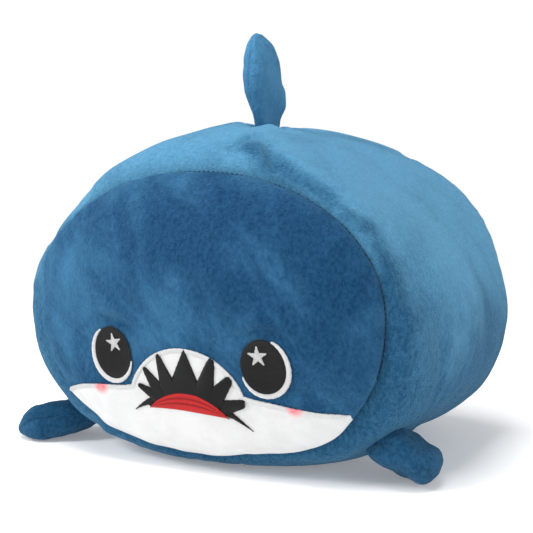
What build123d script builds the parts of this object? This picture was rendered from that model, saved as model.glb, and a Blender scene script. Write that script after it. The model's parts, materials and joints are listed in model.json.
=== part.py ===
"""Plush shark pillow: a stuffed fleece roll with a sewn face, four stuffed fins and embroidery.

The shark lies on its belly and looks along -Y. +Z is up and +X is its own left side.
The origin is on the floor, under the middle of the roll. All sizes are in millimetres.
"""

import math
import os
from typing import NamedTuple

from build123d import *

# ---------------------------------------------------------------- driving sizes
FABRIC = 1.5  # fleece with its pile pressed down
SEW_GAP = 1.4  # room for the thread between two panels that are sewn edge to edge
LOOSE = 0.1  # space left between a skin and what fills it

BODY_LENGTH = 210.0  # from the face seam to the rear seam
BODY_HALF_WIDTH = 162.0  # at the middle of the roll
BODY_WIDEST_Z = 88.0
BODY_TOP_Z = 238.0
BODY_LOWER_RADIUS = 98.0  # the belly would reach below the floor, which presses it flat
BODY_BULGE = 2.6  # power of the curve from the end seams to the middle
BELLY_SEAM_X = 24.0  # beside the middle, so that the middle of the belly is whole

FACE_HALF_WIDTH = 136.0
FACE_HALF_HEIGHT = 99.0
FACE_CENTRE_Z = 111.0
FACE_DEPTH = 32.0  # how far the face bulges in front of its seam

REAR_HALF_WIDTH = 144.0
REAR_HALF_HEIGHT = 105.0
REAR_CENTRE_Z = 115.0
REAR_DEPTH = 30.0

LAYER_STEP = 0.75  # each layer of appliqué or embroidery stands this much higher
LAYER_GAP = 0.05

JAW_BORDER = 4.0  # satin stitched edge of the jaw
MOUTH_ARCH_Z = 90.5
MOUTH_HALF_WIDTH = 42.8
MOUTH_BASE_Z = 62.0

EYE_X = 59.4
EYE_Z = 82.6
EYE_HALF_WIDTH = 15.0
EYE_HALF_HEIGHT = 19.5
EYE_TILT = 8.0  # degrees, the tops lean towards the nose
STAR_RADIUS = 6.8
STAR_DROP = (-2.4, 7.7)  # from the middle of the pupil, inwards and up

FIN_LENGTH = 74.0
FIN_CHORD = 48.0
FIN_THICKNESS = 28.0
# reach along the fin, share of its chord and share of its thickness
FIN_STATIONS = (
    (0.03, 0.34, 0.10),
    (0.12, 0.54, 0.38),
    (0.28, 0.86, 0.80),
    (0.50, 1.00, 1.00),
    (0.72, 0.90, 0.90),
    (0.88, 0.62, 0.60),
    (0.97, 0.28, 0.28),
    (1.00, 0.10, 0.10),
)

DORSAL_Y = -6.0
FLIPPER_ROOT = (123.0, -52.5, 23.6)
FLIPPER_FORWARD = {"left": 54.0, "right": 41.0}  # degrees that each one points ahead of sideways
FLIPPER_DROOP = 8.0  # degrees below level
FLIPPER_SAG = 7.0  # the flipper's belly hangs this far under its axis
FLIPPER_TWIST = 6.0  # degrees that the tip is rolled, front edge up
TAIL_ROOT_Z = 118.0
TAIL_SPREAD = 42.0  # degrees of each lobe above and below level
TAIL_SCALE = 1.12
TAIL_NECK = 5.5  # from the rear panel to where the lobes part

LABEL_SIZE = (22.0, 30.0, 0.4)
LABEL_ANGLE = 212.0  # degrees round the rear seam


class Ring(NamedTuple):
    """One upright cross-section of the body, made of two half ellipses."""

    half_width: float
    centre_z: float
    upper: float
    lower: float


FACE_RING = Ring(FACE_HALF_WIDTH, FACE_CENTRE_Z, FACE_HALF_HEIGHT, FACE_HALF_HEIGHT)
REAR_RING = Ring(REAR_HALF_WIDTH, REAR_CENTRE_Z, REAR_HALF_HEIGHT, REAR_HALF_HEIGHT)
MIDDLE_RING = Ring(
    BODY_HALF_WIDTH, BODY_WIDEST_Z, BODY_TOP_Z - BODY_WIDEST_Z, BODY_LOWER_RADIUS
)


def finish(shape, label):
    """Name one finished piece and write it to its own STEP file."""
    shape.label = label
    export_step(shape, f"parts/{label}.step")


# ---------------------------------------------------------------- body shapes
def ring_at(share):
    """The body's cross-section from share -1, the face seam, to 1, the rear seam."""
    end = FACE_RING if share < 0 else REAR_RING
    bulge = (1 - abs(share) ** BODY_BULGE) ** (1 / BODY_BULGE)
    return Ring(*(low + (high - low) * bulge for low, high in zip(end, MIDDLE_RING)))


def roll_solid(shrink):
    """The roll between its two end seams, flat on the floor, smaller by shrink on every side."""
    length = BODY_LENGTH - 2 * (SEW_GAP + shrink)
    with BuildPart() as roll:
        for share in (-1.0, -0.94, -0.80, -0.50, 0.0, 0.50, 0.80, 0.94, 1.0):
            ring = ring_at(share)
            centre = (0, ring.centre_z)
            width = ring.half_width - shrink
            with BuildSketch(Plane.XZ.offset(-share * length / 2)):
                with BuildLine():
                    EllipticalCenterArc(centre, width, ring.upper - shrink, 0, arc_size=180)
                    EllipticalCenterArc(centre, width, ring.lower - shrink, 180, arc_size=180)
                make_face()
        loft()
        split(bisect_by=Plane.XY.offset(shrink), keep=Keep.TOP)
    return roll.part


def end_disc(ring, shrink, facing):
    """A flat disc inside the end seam, thick enough to reach from the dome into the roll."""
    thickness = SEW_GAP + 3 * FABRIC
    with BuildPart() as disc:
        with BuildSketch(Plane.XZ.offset(-facing * BODY_LENGTH / 2)):
            with Locations((0, ring.centre_z)):
                Ellipse(ring.half_width - shrink, ring.upper - shrink)
        extrude(amount=facing * thickness)
    return disc.part


def end_dome(ring, depth, growth, facing):
    """The bulging end of the body: half of an ellipsoid. facing is -1 for the face."""
    seam_y = facing * BODY_LENGTH / 2
    height = ring.upper + growth
    start_angle = 90 if facing < 0 else 0
    with BuildPart() as dome:
        with BuildSketch(Plane.YZ):
            with BuildLine():
                arc = EllipticalCenterArc(
                    (seam_y, ring.centre_z), depth + growth, height, start_angle, arc_size=90
                )
                Polyline(arc @ 1, (seam_y, ring.centre_z), arc @ 0)
            make_face()
        revolve(axis=Axis((0, 0, ring.centre_z), (0, 1, 0)))
        scale(by=((ring.half_width + growth) / height, 1, 1))
    return dome.part


def face_layer(number):
    """A thin skin in front of the face panel, where appliqué or embroidery lies."""
    low = LAYER_GAP + (number - 1) * (LAYER_STEP + LAYER_GAP)
    with BuildPart() as skin:
        add(end_dome(FACE_RING, FACE_DEPTH, low + LAYER_STEP, -1))
        add(end_dome(FACE_RING, FACE_DEPTH, low, -1), mode=Mode.SUBTRACT)
    return skin.part


def seam_ring(ring, facing):
    """Thread that runs round the body between two panels."""
    thread = SEW_GAP - 4 * LOOSE
    start_y = BODY_LENGTH / 2 - SEW_GAP + 2 * LOOSE
    with BuildPart() as seam:
        with BuildSketch(Plane.XZ.offset(-facing * start_y)):
            with Locations((0, ring.centre_z)):
                Ellipse(ring.half_width - LOOSE, ring.upper - LOOSE)
                Ellipse(
                    ring.half_width - LOOSE - thread,
                    ring.upper - LOOSE - thread,
                    mode=Mode.SUBTRACT,
                )
        extrude(amount=-facing * thread)
    return seam.part


# ---------------------------------------------------------------- body pieces
os.makedirs("parts", exist_ok=True)

barrel_length = BODY_LENGTH - 2 * SEW_GAP
with BuildPart() as barrel_panel:
    add(roll_solid(0))
    add(roll_solid(FABRIC), mode=Mode.SUBTRACT)
    add(end_disc(FACE_RING, FABRIC, -1), mode=Mode.SUBTRACT)
    add(end_disc(REAR_RING, FABRIC, 1), mode=Mode.SUBTRACT)
    # the two edges of the tube meet along the belly
    with Locations((BELLY_SEAM_X, 0, FABRIC / 2)):
        Box(SEW_GAP, barrel_length + 2, FABRIC + 2, mode=Mode.SUBTRACT)
finish(barrel_panel.part, "barrel_panel")

with BuildPart() as belly_seam_thread:
    with Locations((BELLY_SEAM_X, 0, FABRIC / 2)):
        Box(SEW_GAP - 4 * LOOSE, barrel_length * 0.9, FABRIC / 2)
finish(belly_seam_thread.part, "belly_seam_thread")

with BuildPart() as face_panel:
    add(end_dome(FACE_RING, FACE_DEPTH, 0, -1))
    add(end_dome(FACE_RING, FACE_DEPTH, -FABRIC, -1), mode=Mode.SUBTRACT)
finish(face_panel.part, "face_panel")

with BuildPart() as rear_panel:
    add(end_dome(REAR_RING, REAR_DEPTH, 0, 1))
    add(end_dome(REAR_RING, REAR_DEPTH, -FABRIC, 1), mode=Mode.SUBTRACT)
finish(rear_panel.part, "rear_panel")

filling_inset = FABRIC + LOOSE
with BuildPart() as body_stuffing:
    add(roll_solid(filling_inset))
    add(end_disc(FACE_RING, filling_inset, -1))
    add(end_disc(REAR_RING, filling_inset, 1))
    add(end_dome(FACE_RING, FACE_DEPTH, -filling_inset, -1))
    add(end_dome(REAR_RING, REAR_DEPTH, -filling_inset, 1))
finish(body_stuffing.part, "body_stuffing")

finish(seam_ring(FACE_RING, -1), "face_seam_thread")
finish(seam_ring(REAR_RING, 1), "rear_seam_thread")

# a blank label stands out of the rear seam, low on the shark's right side
label_width, label_reach, label_thickness = LABEL_SIZE
around = math.radians(LABEL_ANGLE)
label_x = REAR_RING.half_width * math.cos(around)
label_z = REAR_RING.centre_z + REAR_RING.upper * math.sin(around)
label_out = math.atan2(
    math.sin(around) / REAR_RING.upper, math.cos(around) / REAR_RING.half_width
)
label_middle = label_reach / 2 + LOOSE
with BuildPart() as care_label:
    with BuildSketch(Plane.XZ.offset(-BODY_LENGTH / 2 + SEW_GAP / 2)):
        with Locations(
            Location(
                (
                    label_x + label_middle * math.cos(label_out),
                    label_z + label_middle * math.sin(label_out),
                    0,
                ),
                math.degrees(label_out),
            )
        ):
            Rectangle(label_reach, label_width)
    extrude(amount=label_thickness)
finish(care_label.part, "care_label")

# ---------------------------------------------------------------- jaw, mouth and eyes
face_plane = Plane.XZ.offset(BODY_LENGTH / 2 - 1)
face_reach = FACE_DEPTH + 10
arch_rise = MOUTH_ARCH_Z - MOUTH_BASE_Z
arch_radius = (MOUTH_HALF_WIDTH**2 + arch_rise**2) / (2 * arch_rise)
arch_centre_z = MOUTH_ARCH_Z - arch_radius
jaw_edge = (
    (MOUTH_HALF_WIDTH, MOUTH_BASE_Z),
    (57.0, 59.3),
    (90.0, 56.0),
    (132.0, 48.5),
)
layer_1 = face_layer(1)
layer_2 = face_layer(2)
layer_3 = face_layer(3)
layer_4 = face_layer(4)


def mirrored(points):
    """The same points on the shark's other side, in reverse order."""
    return [(-x, z) for x, z in reversed(points)]


with BuildPart() as jaw_panel:
    with BuildSketch(face_plane):
        with BuildLine():
            right_side = Spline(*mirrored(jaw_edge))
            ThreePointArc(right_side @ 1, (0, MOUTH_ARCH_Z), jaw_edge[0])
            left_side = Spline(*jaw_edge)
            Polyline(left_side @ 1, (jaw_edge[-1][0], 0), (-jaw_edge[-1][0], 0), right_side @ 0)
        make_face()
    extrude(amount=face_reach)
    add(layer_1, mode=Mode.INTERSECT)
finish(jaw_panel.part, "jaw_panel")

border_drop = JAW_BORDER / 2 + 0.3
border_points = [(x, z - border_drop) for x, z in jaw_edge]
with BuildPart() as jaw_border_stitching:
    with BuildSketch(face_plane):
        with BuildLine():
            border_start = (MOUTH_HALF_WIDTH - border_drop, MOUTH_BASE_Z - border_drop)
            right_side = Spline(*mirrored(border_points[1:]), (-border_start[0], border_start[1]))
            ThreePointArc(right_side @ 1, (0, MOUTH_ARCH_Z - border_drop), border_start)
            Spline(border_start, *border_points[1:])
        trace(line_width=JAW_BORDER)
    extrude(amount=face_reach)
    add(layer_2, mode=Mode.INTERSECT)
finish(jaw_border_stitching.part, "jaw_border_stitching")

# half of the black mouth, from the middle spike outwards: tips and the valleys between them
mouth_half = [
    (12.0, 70.8),
    (22.0, 84.6),
    (23.2, 68.0),
    (34.0, 73.2),
    (30.5, 60.3),
    (41.5, 58.8),
    (33.0, 49.8),
    (45.5, 39.5),
]
tongue_tip = (31.3, 44.7)
tongue_top_z = 59.2
tongue_low_z = 45.8
with BuildPart() as mouth_embroidery:
    with BuildSketch(face_plane):
        with BuildLine():
            tail = (mouth_half[-1][0] - 1.0, mouth_half[-1][1] - 0.6)
            Polyline(
                (-tail[0], tail[1]), *mirrored(mouth_half), (0, MOUTH_ARCH_Z - 0.5), *mouth_half, tail
            )
            Line(tail, tongue_tip)
            ThreePointArc(tongue_tip, (0, tongue_top_z), (-tongue_tip[0], tongue_tip[1]))
            Line((-tongue_tip[0], tongue_tip[1]), (-tail[0], tail[1]))
        make_face()
    extrude(amount=face_reach)
    add(layer_3, mode=Mode.INTERSECT)
finish(mouth_embroidery.part, "mouth_embroidery")

with BuildPart() as tongue_embroidery:
    with BuildSketch(face_plane):
        with BuildLine():
            ThreePointArc(tongue_tip, (0, tongue_top_z), (-tongue_tip[0], tongue_tip[1]))
            ThreePointArc((-tongue_tip[0], tongue_tip[1]), (0, tongue_low_z), tongue_tip)
        make_face()
    extrude(amount=face_reach)
    add(layer_4, mode=Mode.INTERSECT)
finish(tongue_embroidery.part, "tongue_embroidery")


def star_points(centre, radius):
    """The ten corners of a five-pointed star that stands upright."""
    corners = []
    for step in range(10):
        reach = radius if step % 2 == 0 else radius * 0.45
        turn = math.radians(90 + 36 * step)
        corners.append((centre[0] + reach * math.cos(turn), centre[1] + reach * math.sin(turn)))
    return corners


for side_name, side in (("left", 1), ("right", -1)):
    eye_centre = (side * EYE_X, EYE_Z)
    pupil_turn = side * EYE_TILT

    # a white crescent shows on the outer side of the pupil and under it
    with BuildPart() as eye_white:
        with BuildSketch(face_plane):
            with Locations((side * (EYE_X + 1.9), EYE_Z - 2.6)):
                Ellipse(EYE_HALF_WIDTH + 1.6, EYE_HALF_HEIGHT + 0.6, rotation=pupil_turn)
            with Locations(eye_centre):
                Ellipse(EYE_HALF_WIDTH, EYE_HALF_HEIGHT, rotation=pupil_turn, mode=Mode.SUBTRACT)
        extrude(amount=face_reach)
        add(layer_2, mode=Mode.INTERSECT)
    finish(eye_white.part, f"{side_name}_eye_white")

    with BuildPart() as eye_pupil:
        with BuildSketch(face_plane):
            with Locations(eye_centre):
                Ellipse(EYE_HALF_WIDTH, EYE_HALF_HEIGHT, rotation=pupil_turn)
        extrude(amount=face_reach)
        add(layer_3, mode=Mode.INTERSECT)
    finish(eye_pupil.part, f"{side_name}_eye_pupil")

    with BuildPart() as eye_star:
        with BuildSketch(face_plane):
            with BuildLine():
                star_centre = (side * (EYE_X + STAR_DROP[0]), EYE_Z + STAR_DROP[1])
                Polyline(*star_points(star_centre, STAR_RADIUS), close=True)
            make_face()
        extrude(amount=face_reach)
        add(layer_4, mode=Mode.INTERSECT)
    finish(eye_star.part, f"{side_name}_eye_star")


# ---------------------------------------------------------------- fins
def leaf(root, inset, sag=0.0, twist=0.0, size=1.0):
    """A stuffed leaf along the root plane's normal, with its chord along the plane's X."""
    with BuildPart() as blade:
        for reach, chord_share, thick_share in FIN_STATIONS:
            chord = max(chord_share * FIN_CHORD * size / 2 - inset, 0.8)
            thickness = max(thick_share * FIN_THICKNESS * size / 2 - inset, 0.4)
            droop = sag * math.sin(math.pi * min(reach * 1.6, 1.0))
            with BuildSketch(root.offset(reach * (FIN_LENGTH * size - inset))):
                with Locations((0, -droop)):
                    Ellipse(chord, thickness, rotation=twist * min(reach * 2, 1.0))
        loft()
    return blade.part


def sew_fin(name, root, panels, shape, on_left=False):
    """Write the two panels, the filling, the edge seam and the root thread of one fin.

    shape(inset) makes the fin's solid, smaller by the inset on every side. It is made on the
    shark's right side or in the middle, and mirrored where the fin is on the left.
    """

    def write(piece, piece_name):
        """Finish one piece of this fin on its own side."""
        finish(mirror(piece, about=Plane.YZ) if on_left else piece, f"{name}_{piece_name}")

    middle = Plane(root.origin, x_dir=root.z_dir, z_dir=root.y_dir)
    skin = shape(0)
    hollow = shape(FABRIC)
    half_gap = SEW_GAP / 2

    for panel_name, distance, keep in (
        (panels[0], half_gap, Keep.TOP),
        (panels[1], -half_gap, Keep.BOTTOM),
    ):
        with BuildPart() as panel:
            add(skin)
            add(hollow, mode=Mode.SUBTRACT)
            split(bisect_by=middle.offset(distance), keep=keep)
        write(panel.part, f"{panel_name}_panel")

    thread_gap = half_gap - 2 * LOOSE
    with BuildPart() as edge_thread:
        add(skin)
        add(hollow, mode=Mode.SUBTRACT)
        split(bisect_by=middle.offset(thread_gap), keep=Keep.BOTTOM)
        split(bisect_by=middle.offset(-thread_gap), keep=Keep.TOP)
    write(edge_thread.part, "seam_thread")

    write(shape(FABRIC + LOOSE), "stuffing")

    with BuildPart() as root_thread:
        with BuildSketch(root.offset(1.3)):
            Rectangle(14, 1.4)
        extrude(amount=0.5)
    write(root_thread.part, "root_thread")


dorsal_root = Plane((0, DORSAL_Y, BODY_TOP_Z), x_dir=(0, 1, 0), z_dir=(0, 0, 1))
sew_fin("dorsal_fin", dorsal_root, ("left", "right"), lambda inset: leaf(dorsal_root, inset))

for side_name, on_left in (("left", True), ("right", False)):
    forward = math.radians(FLIPPER_FORWARD[side_name])
    down = math.radians(FLIPPER_DROOP)
    outwards = Vector(
        -math.cos(forward) * math.cos(down), -math.sin(forward) * math.cos(down), -math.sin(down)
    )
    flipper_root = Plane(
        (-FLIPPER_ROOT[0], FLIPPER_ROOT[1], FLIPPER_ROOT[2]),
        x_dir=(math.sin(forward), -math.cos(forward), 0),
        z_dir=outwards,
    )
    sew_fin(
        f"{side_name}_flipper",
        flipper_root,
        ("top", "bottom"),
        lambda inset: leaf(flipper_root, inset, sag=FLIPPER_SAG, twist=FLIPPER_TWIST),
        on_left,
    )

tail_root = Plane(
    (0, BODY_LENGTH / 2 + REAR_DEPTH, TAIL_ROOT_Z), x_dir=(0, 0, 1), z_dir=(0, 1, 0)
)


def tail_shape(inset):
    """Two leaves that share one root, one lobe up and one down."""
    spread = math.radians(TAIL_SPREAD)
    parting = tail_root.offset(TAIL_NECK).origin
    with BuildPart() as lobes:
        for up in (1, -1):
            lobe_axis = Vector(0, math.cos(spread), up * math.sin(spread))
            lobe_chord = Vector(0, -up * math.sin(spread), math.cos(spread))
            add(leaf(Plane(parting, x_dir=lobe_chord, z_dir=lobe_axis), inset, size=TAIL_SCALE))
    return lobes.part


sew_fin("tail_fin", tail_root, ("left", "right"), tail_shape)
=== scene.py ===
# %% [markdown]
# # A plush shark pillow, sewn and stuffed in Blender
#
# The shark is a fat roll of short fleece that lies on its belly. It has a sewn oval face with
# embroidered eyes and a spiky mouth, and four small stuffed fins. The fixed frame holds its sizes,
# its bodies and the seams that the fins bend on. Here each cloth, thread and filling is made to
# fit that frame, in metres, with +Z up and the shark looking along -Y.

# %% Load the frame
import json
import math

import bmesh
import bpy
import numpy as np
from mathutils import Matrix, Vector


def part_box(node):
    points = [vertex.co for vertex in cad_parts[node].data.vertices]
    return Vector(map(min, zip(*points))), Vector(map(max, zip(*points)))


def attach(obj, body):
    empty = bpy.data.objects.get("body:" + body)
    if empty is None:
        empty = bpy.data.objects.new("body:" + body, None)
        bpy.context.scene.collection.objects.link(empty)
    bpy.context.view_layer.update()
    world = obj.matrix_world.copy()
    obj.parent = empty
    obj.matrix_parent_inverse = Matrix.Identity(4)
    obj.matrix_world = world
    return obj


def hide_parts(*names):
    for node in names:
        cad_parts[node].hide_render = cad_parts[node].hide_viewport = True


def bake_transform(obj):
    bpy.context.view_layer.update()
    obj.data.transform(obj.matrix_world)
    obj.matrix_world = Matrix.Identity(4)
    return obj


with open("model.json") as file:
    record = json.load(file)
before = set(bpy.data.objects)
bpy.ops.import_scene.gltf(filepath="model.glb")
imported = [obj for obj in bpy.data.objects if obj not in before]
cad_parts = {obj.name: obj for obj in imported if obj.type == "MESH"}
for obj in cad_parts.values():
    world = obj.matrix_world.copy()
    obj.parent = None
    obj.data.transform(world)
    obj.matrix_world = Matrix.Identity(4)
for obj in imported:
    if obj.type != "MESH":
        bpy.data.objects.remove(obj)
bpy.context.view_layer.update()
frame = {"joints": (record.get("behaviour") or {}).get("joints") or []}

MM = 0.001
joints = {joint["name"]: joint for joint in frame["joints"]}

# %% [markdown]
# ## Camera, floor and light
#
# The view is from a little above the floor and to the shark's left, with a portrait lens so that
# the roll keeps its proportions. Soft light comes from high on the left and from a white room,
# which leaves only a faint contact shadow on a pale floor.

# %% Camera
VIEW_SIDE = math.radians(27.0)  # how far the camera stands round towards the shark's left
VIEW_RISE = math.radians(8.4)
VIEW_DISTANCE = 0.969
view_centre = Vector((0, 0, 0.0984))
back = Vector(
    (
        math.sin(VIEW_SIDE) * math.cos(VIEW_RISE),
        -math.cos(VIEW_SIDE) * math.cos(VIEW_RISE),
        math.sin(VIEW_RISE),
    )
)
camera_data = bpy.data.cameras.new("camera")
camera_data.lens = 85
camera_data.sensor_width = 36
camera = bpy.data.objects.new("camera", camera_data)
bpy.context.collection.objects.link(camera)
camera.location = view_centre + back * VIEW_DISTANCE
across = Vector((math.cos(VIEW_SIDE), math.sin(VIEW_SIDE), 0))
AIM_RAISED, AIM_SHIFTED = 35.0 * MM, 4.8 * MM  # so that the shark sits low and to the side
aim = view_centre + Vector((0, 0, AIM_RAISED)) - across * AIM_SHIFTED
camera.rotation_euler = (camera.location - aim).to_track_quat("Z", "Y").to_euler()
bpy.context.scene.camera = camera
print("camera at", [round(value, 3) for value in camera.location])


# %% Lights and room
LIT_PLACE = Vector((0, 0, 0.1))


def soft_light(name, place, size, power):
    """A square soft box that faces the middle of the shark."""
    data = bpy.data.lights.new(name, "AREA")
    data.size = size
    data.energy = power
    light = bpy.data.objects.new(name, data)
    bpy.context.collection.objects.link(light)
    light.location = place
    away = Vector(place) - LIT_PLACE
    light.rotation_euler = away.to_track_quat("Z", "Y").to_euler()


soft_light("key_light", (-1.1, -1.15, 1.15), 0.6, 19)
soft_light("top_light", (-0.05, -0.30, 1.7), 0.9, 24)
soft_light("side_light", (1.7, -0.6, 0.9), 1.0, 6)
bpy.context.scene.view_settings.view_transform = "Standard"
print("three soft lights")


# %% [markdown]
# ## Writing materials as sums
#
# Every finish on this toy is a pattern of small numbers: how far the pile is brushed one way, how
# high a thread stands. A small class wraps a node socket, so that such a pattern is written as
# plain arithmetic and each operator adds its own Math node.

# %% Shader arithmetic
class Value:
    """A socket of a node tree that can be added, multiplied and compared."""

    def __init__(self, finish, socket):
        self.finish = finish
        self.socket = socket

    def _math(self, operation, *others):
        return self.finish.node("ShaderNodeMath", {"operation": operation}, self, *others)

    def __add__(self, other):
        return self._math("ADD", other)

    __radd__ = __add__

    def __mul__(self, other):
        return self._math("MULTIPLY", other)

    __rmul__ = __mul__

    def __sub__(self, other):
        return self._math("SUBTRACT", other)

    def __rsub__(self, other):
        return self.finish.node("ShaderNodeMath", {"operation": "SUBTRACT"}, other, self)

    def power(self, other):
        return self._math("POWER", other)

    def wave(self):
        return self._math("SINE")

    def between(self, low, high):
        """0 below low, 1 above high, and smooth between them."""
        inputs = {"Value": self, "From Min": low, "From Max": high}
        return self.finish.node("ShaderNodeMapRange", {"interpolation_type": "SMOOTHSTEP"}, **inputs)


class Finish:
    """One procedural material, built round a Principled shader."""

    def __init__(self, name, roughness=0.85, **fixed):
        self.material = bpy.data.materials.new(name)
        self.material.use_nodes = True
        self.tree = self.material.node_tree
        self.shader = self.tree.nodes["Principled BSDF"]
        self.shader.inputs["Roughness"].default_value = roughness
        for socket, value in fixed.items():
            self.shader.inputs[socket.replace("_", " ")].default_value = value

    def node(self, kind, settings, *values, output=0, **named):
        """Add a node: settings first, then its sockets by place or by name."""
        made = self.tree.nodes.new(kind)
        for key, value in settings.items():
            setattr(made, key, value)
        pairs = list(zip(made.inputs, values))
        pairs += [(made.inputs[key.replace("_", " ")], value) for key, value in named.items()]
        for socket, value in pairs:
            if isinstance(value, Value):
                self.tree.links.new(value.socket, socket)
            else:
                socket.default_value = value
        return Value(self, made.outputs[output])

    def place(self, offset=(0, 0, 0), stretch=(1, 1, 1), lean=0.0):
        """Object coordinates in metres, moved, stretched and leant to one side."""
        coordinates = self.node("ShaderNodeTexCoord", {}, output=3)
        return self.node(
            "ShaderNodeMapping",
            {},
            Vector=self.node(
                "ShaderNodeMapping", {}, Vector=coordinates, Rotation=(0, lean, 0)
            ),
            Location=offset,
            Scale=stretch,
        )

    def axis(self, index):
        """One of the three Object coordinates, in metres."""
        return self.node("ShaderNodeSeparateXYZ", {}, self.place(), output=index)

    def noise(self, place, size, detail=2.0, rough=0.5, bend=0.0):
        """Cloudy noise whose blotches are about size metres across."""
        return self.node(
            "ShaderNodeTexNoise",
            {},
            Vector=place,
            Scale=1 / size,
            Detail=detail,
            Roughness=rough,
            Distortion=bend,
        )

    def mix(self, share, first, second):
        """Blend two colours by a share from 0 to 1."""
        made = self.tree.nodes.new("ShaderNodeMix")
        made.data_type = "RGBA"
        for index, value in ((0, share), (6, first), (7, second)):
            if isinstance(value, Value):
                self.tree.links.new(value.socket, made.inputs[index])
            else:
                made.inputs[index].default_value = value if index == 0 else (*value, 1)
        return Value(self, made.outputs[2])

    def attribute(self, name):
        """A number stored on the piece's own mesh."""
        return self.node("ShaderNodeAttribute", {"attribute_name": name}, output=2)

    def colour(self, value):
        self.tree.links.new(value.socket, self.shader.inputs["Base Color"])

    def roughness(self, value):
        self.tree.links.new(value.socket, self.shader.inputs["Roughness"])

    def relief(self, height, depth):
        """Small relief: height from 0 to 1 stands for depth metres."""
        bump = self.node("ShaderNodeBump", {}, Height=height, Distance=depth, Strength=1.0)
        self.tree.links.new(bump.socket, self.shader.inputs["Normal"])


print("shader arithmetic ready")


# %% [markdown]
# ## Fleece
#
# Short pile fleece looks soft because each patch of pile lies its own way: patches whose pile leans
# towards the eye look light and the others deep. So the colour is a mix of a deep and a light blue
# by a cloudy noise that is stretched along the nap, with a fine speckle of single tufts. Painted
# light and shade go into the same mix: lighter towards the top, and lighter or darker where a cloth
# lists painted light and shade. A sheen lightens the grazing edges, as fibre tips do.

# %% Fleece and cloth finishes
BLUSH_PLACES = ((0.0795, 0.0560), (-0.0715, 0.0575))
BLUSH_REACH = 0.0060
PINK = (0.93, 0.17, 0.20)


def fleece(name, deep, light, patch, seed, low, high, sheen, lean=0.0, rise=0.0):
    """Short pile fleece with patches of nap. rise paints light on the top and shade low down, so it is
    lighter towards the top.
    """
    finish = Finish(
        name, 0.9, Sheen_Weight=sheen, Sheen_Roughness=0.42, Sheen_Tint=(0.36, 0.72, 1.0, 1.0)
    )
    finish.shader.inputs["Specular IOR Level"].default_value = 0.10
    nap = finish.place((seed, 0, 0), (1.0, 0.8, 0.5), lean)
    clouds = finish.noise(nap, patch, 3.0, 0.55, 0.5)
    strokes = finish.noise(nap, patch * 0.22, 3.0, 0.6, 0.9)
    tufts = finish.noise(finish.place((0, seed, 0), (1, 1, 0.7)), 0.0026, 3.0, 0.75)
    # the "nap" numbers of each cloth paint light and shade into the nap patches
    nap_with_painted_light = clouds * 0.76 + strokes * 0.24 + finish.attribute("nap")
    # painted light: rise makes the top lighter and the bottom darker
    if rise:
        nap_with_painted_light = nap_with_painted_light + finish.axis(2).between(-0.02, 0.20) * rise - rise * 0.66
    shade = nap_with_painted_light.between(low, high) * 0.72 + tufts.between(0.28, 0.72) * 0.28
    finish.colour(finish.mix(shade, deep, light))
    pile = finish.noise(finish.place(), 0.0013, 2.0, 0.75)
    finish.relief(pile * 0.7 + strokes * 0.3 + tufts * 0.6, 0.0023)
    return finish


def blush_share(finish):
    """How much of the pink blush lies at each place on the face."""
    x, z = finish.axis(0), finish.axis(2)
    total = None
    for centre_x, centre_z in BLUSH_PLACES:
        distance = ((x - centre_x) * (x - centre_x) + (z - centre_z) * (z - centre_z)).power(0.5)
        spot = 1 - distance.between(BLUSH_REACH * 0.35, BLUSH_REACH * 1.35)
        total = spot if total is None else total + spot
    mist = finish.noise(finish.place(), 0.0022, 2.0, 0.6).between(0.2, 0.75)
    return total * (0.58 + 0.4 * mist)


# rise paints light on the top of the roll and shade low down
BARREL_FLEECE = fleece(
    "barrel_fleece", (0.006, 0.062, 0.145), (0.098, 0.300, 0.485), 0.055, 3.1,
    0.28, 0.74, sheen=0.32, rise=0.54,
)
FACE_FLEECE = fleece(
    "face_fleece", (0.0022, 0.037, 0.108), (0.045, 0.172, 0.322), 0.042, 8.4,
    0.34, 0.74, sheen=0.13, lean=0.6,
)
# rise paints light on the tops of the fins and shade on the low flippers
FIN_FLEECE = fleece(
    "fin_fleece", (0.0035, 0.045, 0.112), (0.068, 0.240, 0.430), 0.024, 5.7,
    0.30, 0.74, sheen=0.16, rise=0.58,
)

jaw_finish = Finish("jaw_cloth", 0.92, Sheen_Weight=0.25, Sheen_Roughness=0.5)
nap_shade = jaw_finish.noise(jaw_finish.place(), 0.02, 4.0, 0.6)
weave = jaw_finish.noise(jaw_finish.place(), 0.0009, 2.0, 0.7)
jaw_white = jaw_finish.mix(nap_shade.between(0.3, 0.7), (0.61, 0.61, 0.61), (0.67, 0.67, 0.67))
jaw_finish.colour(jaw_finish.mix(blush_share(jaw_finish), jaw_white, PINK))
jaw_finish.relief(weave + nap_shade * 0.6, 0.0005)
print("fleece and jaw cloth ready")


# %% [markdown]
# ## Thread
#
# Embroidery thread is shiny and runs in straight parallel stitches. Each embroidered piece carries
# its own stitch numbers as a mesh attribute: "along" counts along one stitch and "row" counts the
# stitches. The relief rounds every thread, and its twist is a finer wave along it. The colour has a
# painted highlight on the top of each row and painted shade between the rows.

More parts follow.
